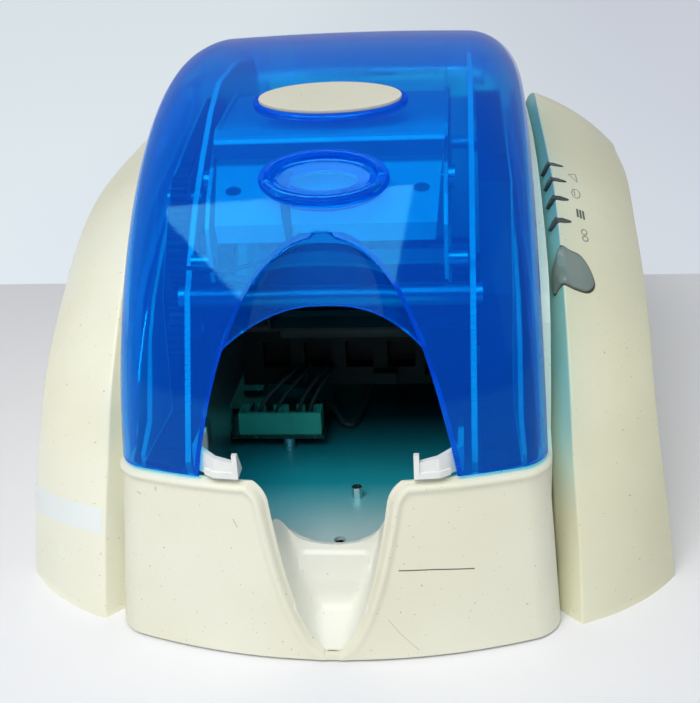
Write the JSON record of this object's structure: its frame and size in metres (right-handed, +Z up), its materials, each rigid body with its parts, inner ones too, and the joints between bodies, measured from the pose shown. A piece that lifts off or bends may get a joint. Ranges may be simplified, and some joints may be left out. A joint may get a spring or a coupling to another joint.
{
  "type": "id card printer",
  "caption": "Desktop card printer with flared cream side panels and a clear blue hinged lid over a card print engine, open front output and rear card feeder.",
  "frame": {"origin": "middle of the base, on the table", "axes": "+X to the right seen from the front, +Y to the back, +Z up"},
  "size_m": [0.2584, 0.3706, 0.1955],
  "materials": {
    "cream": "satin moulded",
    "pale": "satin moulded",
    "clear_blue": "clear tinted, polished",
    "sheet_steel": "zinc plated",
    "steel": "bright machined",
    "dark": "moulded black",
    "rubber": "matt",
    "white": "satin moulded",
    "board": "lacquered board",
    "button_grey": "satin"
  },
  "bodies": {
    "case": {"base_tray": "cream", "front_shell": "cream", "finger_scoop": "cream", "left_side_panel": "cream", "right_side_panel": "cream", "left_body_wall": "cream", "right_body_wall": "cream", "rear_hood": "cream", "rear_panel": "cream", "left_bay_liner": "pale", "right_bay_liner": "pale", "card_hopper": "pale", "feet": "rubber", "floor_deck": "sheet_steel", "left_chassis_plate": "sheet_steel", "right_chassis_plate": "sheet_steel", "rear_bulkhead": "sheet_steel", "data_socket": "sheet_steel", "deck_standoff": "steel", "front_bar": "steel", "bar_screws": "steel", "board_posts": "steel", "gear_studs": "steel", "lid_hinge_pins": "steel", "carrier_shaft": "steel", "left_card_rail": "white", "right_card_rail": "white", "board_sockets": "white", "main_board": "board", "front_card_guide": "dark", "rear_card_guide": "dark", "board_leads": "dark", "engine_block": "dark", "ribbon_motor": "dark", "drive_motor": "dark", "power_inlet": "dark", "power_switch": "dark", "panel_lights": "dark"},
    "lid": {"lid": "clear_blue", "lid_badge": "cream"},
    "release_pad": {"release_pad": "clear_blue"},
    "head_carrier": {"head_carrier": "sheet_steel", "carrier_pins": "steel", "thermal_head": "dark", "head_lead": "dark"},
    "control_button": {"control_button": "button_grey"},
    "lower_gear": {"lower_ribbon_gear": "dark"},
    "takeup": {"takeup_gear": "dark"},
    "small_gear": {"small_ribbon_gear": "dark"},
    "supply_hub": {"supply_hub": "white"},
    "platen": {"platen_roller": "rubber"},
    "front_roller": {"front_roller": "rubber"},
    "rear_roller": {"rear_roller": "rubber"},
    "front_idler": {"front_idler": "white"},
    "rear_idler": {"rear_idler": "white"},
    "motor_idler": {"motor_idler": "white"},
    "pinion": {"motor_pinion": "steel"},
    "switch_rocker": {"switch_rocker": "dark"},
    "feeder_cover": {"feeder_cover": "cream"},
    "card_weight": {"card_weight": "dark"}
  },
  "joints": [
    {"name": "lid_swing", "type": "hinge", "parent": "case", "child": "lid", "pos_m": [0, 0.072, 0.16], "axis": [-1, 0, 0], "range_deg": [0, 70]},
    {"name": "release_press", "type": "slide", "parent": "lid", "child": "release_pad", "axis": [0, 0.663, -0.7487], "range_m": [0, 0.0015], "stiffness_N_per_m": 700, "springref_m": -0.001},
    {"name": "carrier_lift", "type": "hinge", "parent": "case", "child": "head_carrier", "pos_m": [0, -0.01, 0.145], "axis": [-1, 0, 0], "range_deg": [0, 31.5]},
    {"name": "button_press", "type": "slide", "parent": "case", "child": "control_button", "axis": [-0.5136, 0.5947, -0.6185], "range_m": [0, 0.001], "stiffness_N_per_m": 900, "springref_m": -0.0008},
    {"name": "takeup_spin", "type": "hinge", "parent": "case", "child": "takeup", "pos_m": [-0.055, -0.113, 0.12828], "axis": [1, 0, 0], "continuous": true},
    {"name": "lower_spin", "type": "hinge", "parent": "case", "child": "lower_gear", "pos_m": [-0.055, -0.121, 0.1025], "axis": [1, 0, 0], "continuous": true},
    {"name": "small_spin", "type": "hinge", "parent": "case", "child": "small_gear", "pos_m": [-0.055, -0.105, 0.14737], "axis": [1, 0, 0], "continuous": true},
    {"name": "supply_spin", "type": "hinge", "parent": "case", "child": "supply_hub", "pos_m": [-0.043, -0.084, 0.116], "axis": [1, 0, 0], "continuous": true},
    {"name": "platen_spin", "type": "hinge", "parent": "case", "child": "platen", "pos_m": [0, -0.048, 0.086], "axis": [1, 0, 0], "continuous": true},
    {"name": "front_roller_spin", "type": "hinge", "parent": "case", "child": "front_roller", "pos_m": [0, -0.076, 0.086], "axis": [1, 0, 0], "continuous": true},
    {"name": "rear_roller_spin", "type": "hinge", "parent": "case", "child": "rear_roller", "pos_m": [0, -0.012, 0.086], "axis": [1, 0, 0], "continuous": true},
    {"name": "front_idler_spin", "type": "hinge", "parent": "case", "child": "front_idler", "pos_m": [0.055, -0.062, 0.086], "axis": [1, 0, 0], "continuous": true},
    {"name": "rear_idler_spin", "type": "hinge", "parent": "case", "child": "rear_idler", "pos_m": [0.055, -0.03, 0.086], "axis": [1, 0, 0], "continuous": true},
    {"name": "motor_idler_spin", "type": "hinge", "parent": "case", "child": "motor_idler", "pos_m": [0.055, -0.00485, 0.07259], "axis": [1, 0, 0], "continuous": true},
    {"name": "pinion_spin", "type": "hinge", "parent": "case", "child": "pinion", "pos_m": [0.055, 0.0008, 0.062], "axis": [1, 0, 0], "continuous": true},
    {"name": "switch_rock", "type": "hinge", "parent": "case", "child": "switch_rocker", "pos_m": [0.0225, 0.1792, 0.0315], "axis": [1, 0, 0], "range_deg": [-5, 5]},
    {"name": "feeder_cover_swing", "type": "hinge", "parent": "case", "child": "feeder_cover", "pos_m": [0, 0.1744, 0.1636], "axis": [-1, 0, 0], "range_deg": [0, 100]},
    {"name": "card_weight_slide", "type": "slide", "parent": "case", "child": "card_weight", "axis": [0, 0, 1], "range_m": [0, 0.05]}
  ],
  "couplings": [
    {"joint": "lower_spin", "follows": "takeup_spin", "ratio": -0.93548},
    {"joint": "small_spin", "follows": "takeup_spin", "ratio": -1.7059},
    {"joint": "carrier_lift", "follows": "lid_swing", "ratio": 0.45},
    {"joint": "front_idler_spin", "follows": "platen_spin", "ratio": -1.3333},
    {"joint": "front_roller_spin", "follows": "platen_spin", "ratio": 1},
    {"joint": "rear_idler_spin", "follows": "platen_spin", "ratio": -0.8},
    {"joint": "rear_roller_spin", "follows": "platen_spin", "ratio": 1},
    {"joint": "motor_idler_spin", "follows": "platen_spin", "ratio": -1.1111},
    {"joint": "pinion_spin", "follows": "platen_spin", "ratio": 1.6667}
  ]
}
